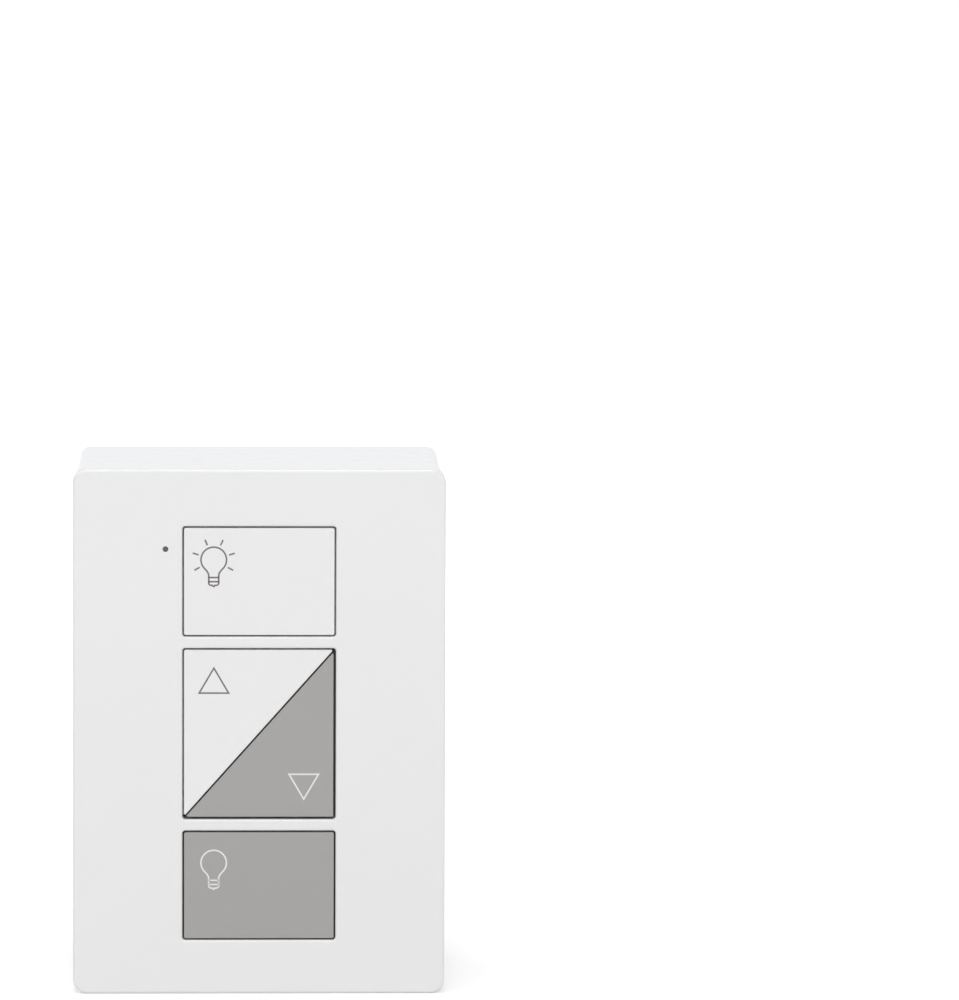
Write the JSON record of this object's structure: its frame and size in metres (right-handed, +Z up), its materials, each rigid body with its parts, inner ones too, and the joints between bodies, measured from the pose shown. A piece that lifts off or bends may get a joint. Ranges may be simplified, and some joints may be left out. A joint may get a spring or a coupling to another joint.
{
  "type": "plug in dimmer",
  "caption": "Plug-in lamp dimmer: white box with on, raise, lower and off buttons, a polarised plug behind and a lamp socket in each side.",
  "frame": {"origin": "on the rear face's plane, midway between the two plug blades", "axes": "+X to the right seen from the front, +Y into the wall along the blades, +Z up; the buttons face -Y"},
  "size_m": [0.0518, 0.0488, 0.0737],
  "materials": {
    "case_white": "glossy moulded white",
    "button_white": "satin moulded white",
    "button_grey": "satin moulded grey",
    "screw_steel": "zinc plated",
    "inner_black": "matt",
    "inner_white": "matt",
    "light_pipe": "smoked, polished end",
    "led_white": "clear",
    "board_green": "solder resist",
    "tin_plate": "tin plated",
    "gold_pin": "gold plated",
    "component_black": "matt",
    "ferrite": "sintered",
    "copper_wire": "enamelled copper",
    "film_yellow": "smooth",
    "varistor_blue": "dipped",
    "heat_sink": "plain rolled",
    "barrier_sheet": "fibre sheet",
    "blade_brass": "nickel plated brass",
    "contact_brass": "plain brass",
    "lead_white": "insulated wire",
    "lead_black": "insulated wire",
    "plunger_brown": "matt"
  },
  "bodies": {
    "case": {"blade_carrier": "inner_white", "button_guide_frame": "inner_black", "case_screws": "screw_steel", "choke_core": "ferrite", "choke_winding": "copper_wire", "control_board": "board_green", "control_board_screws": "screw_steel", "controller_chip": "component_black", "film_capacitor": "film_yellow", "front_plate": "case_white", "fuse": "component_black", "header_pins": "gold_pin", "header_socket": "component_black", "header_strip": "component_black", "heat_sink_plate": "heat_sink", "insulation_barrier": "barrier_sheet", "left_outlet_block": "inner_white", "left_outlet_cover": "inner_white", "line_blade": "blade_brass", "lower_switch_body": "component_black", "lower_switch_cover": "tin_plate", "lower_switch_dome": "tin_plate", "neutral_blade": "blade_brass", "neutral_contact_strip": "contact_brass", "neutral_lead": "lead_white", "off_switch_body": "component_black", "off_switch_cover": "tin_plate", "off_switch_dome": "tin_plate", "on_switch_body": "component_black", "on_switch_cover": "tin_plate", "on_switch_dome": "tin_plate", "power_board": "board_green", "power_board_screws": "screw_steel", "radio_antenna": "tin_plate", "radio_module": "tin_plate", "raise_switch_body": "component_black", "raise_switch_cover": "tin_plate", "raise_switch_dome": "tin_plate", "rear_housing": "case_white", "right_outlet_block": "inner_white", "right_outlet_cover": "inner_white", "smoothing_capacitor": "component_black", "spacer_sleeves": "inner_black", "status_led": "led_white", "status_light_pipe": "light_pipe", "switched_contact_strip": "contact_brass", "switched_lead": "lead_black", "triac": "component_black", "varistor": "varistor_blue"},
    "on_key": {"on_button": "button_white", "on_switch_plunger": "plunger_brown"},
    "raise_key": {"raise_button": "button_white", "raise_switch_plunger": "plunger_brown"},
    "lower_key": {"lower_button": "button_grey", "lower_switch_plunger": "plunger_brown"},
    "off_key": {"off_button": "button_grey", "off_switch_plunger": "plunger_brown"}
  },
  "joints": [
    {"name": "on_press", "type": "slide", "parent": "case", "child": "on_key", "axis": [0, 1, 0], "range_m": [0, 0.0006], "stiffness_N_per_m": 600, "springref_m": -0.0005, "deforming": ["on_switch_dome"]},
    {"name": "raise_press", "type": "slide", "parent": "case", "child": "raise_key", "axis": [0, 1, 0], "range_m": [0, 0.0006], "stiffness_N_per_m": 600, "springref_m": -0.0005, "deforming": ["raise_switch_dome"]},
    {"name": "lower_press", "type": "slide", "parent": "case", "child": "lower_key", "axis": [0, 1, 0], "range_m": [0, 0.0006], "stiffness_N_per_m": 600, "springref_m": -0.0005, "deforming": ["lower_switch_dome"]},
    {"name": "off_press", "type": "slide", "parent": "case", "child": "off_key", "axis": [0, 1, 0], "range_m": [0, 0.0006], "stiffness_N_per_m": 600, "springref_m": -0.0005, "deforming": ["off_switch_dome"]}
  ]
}
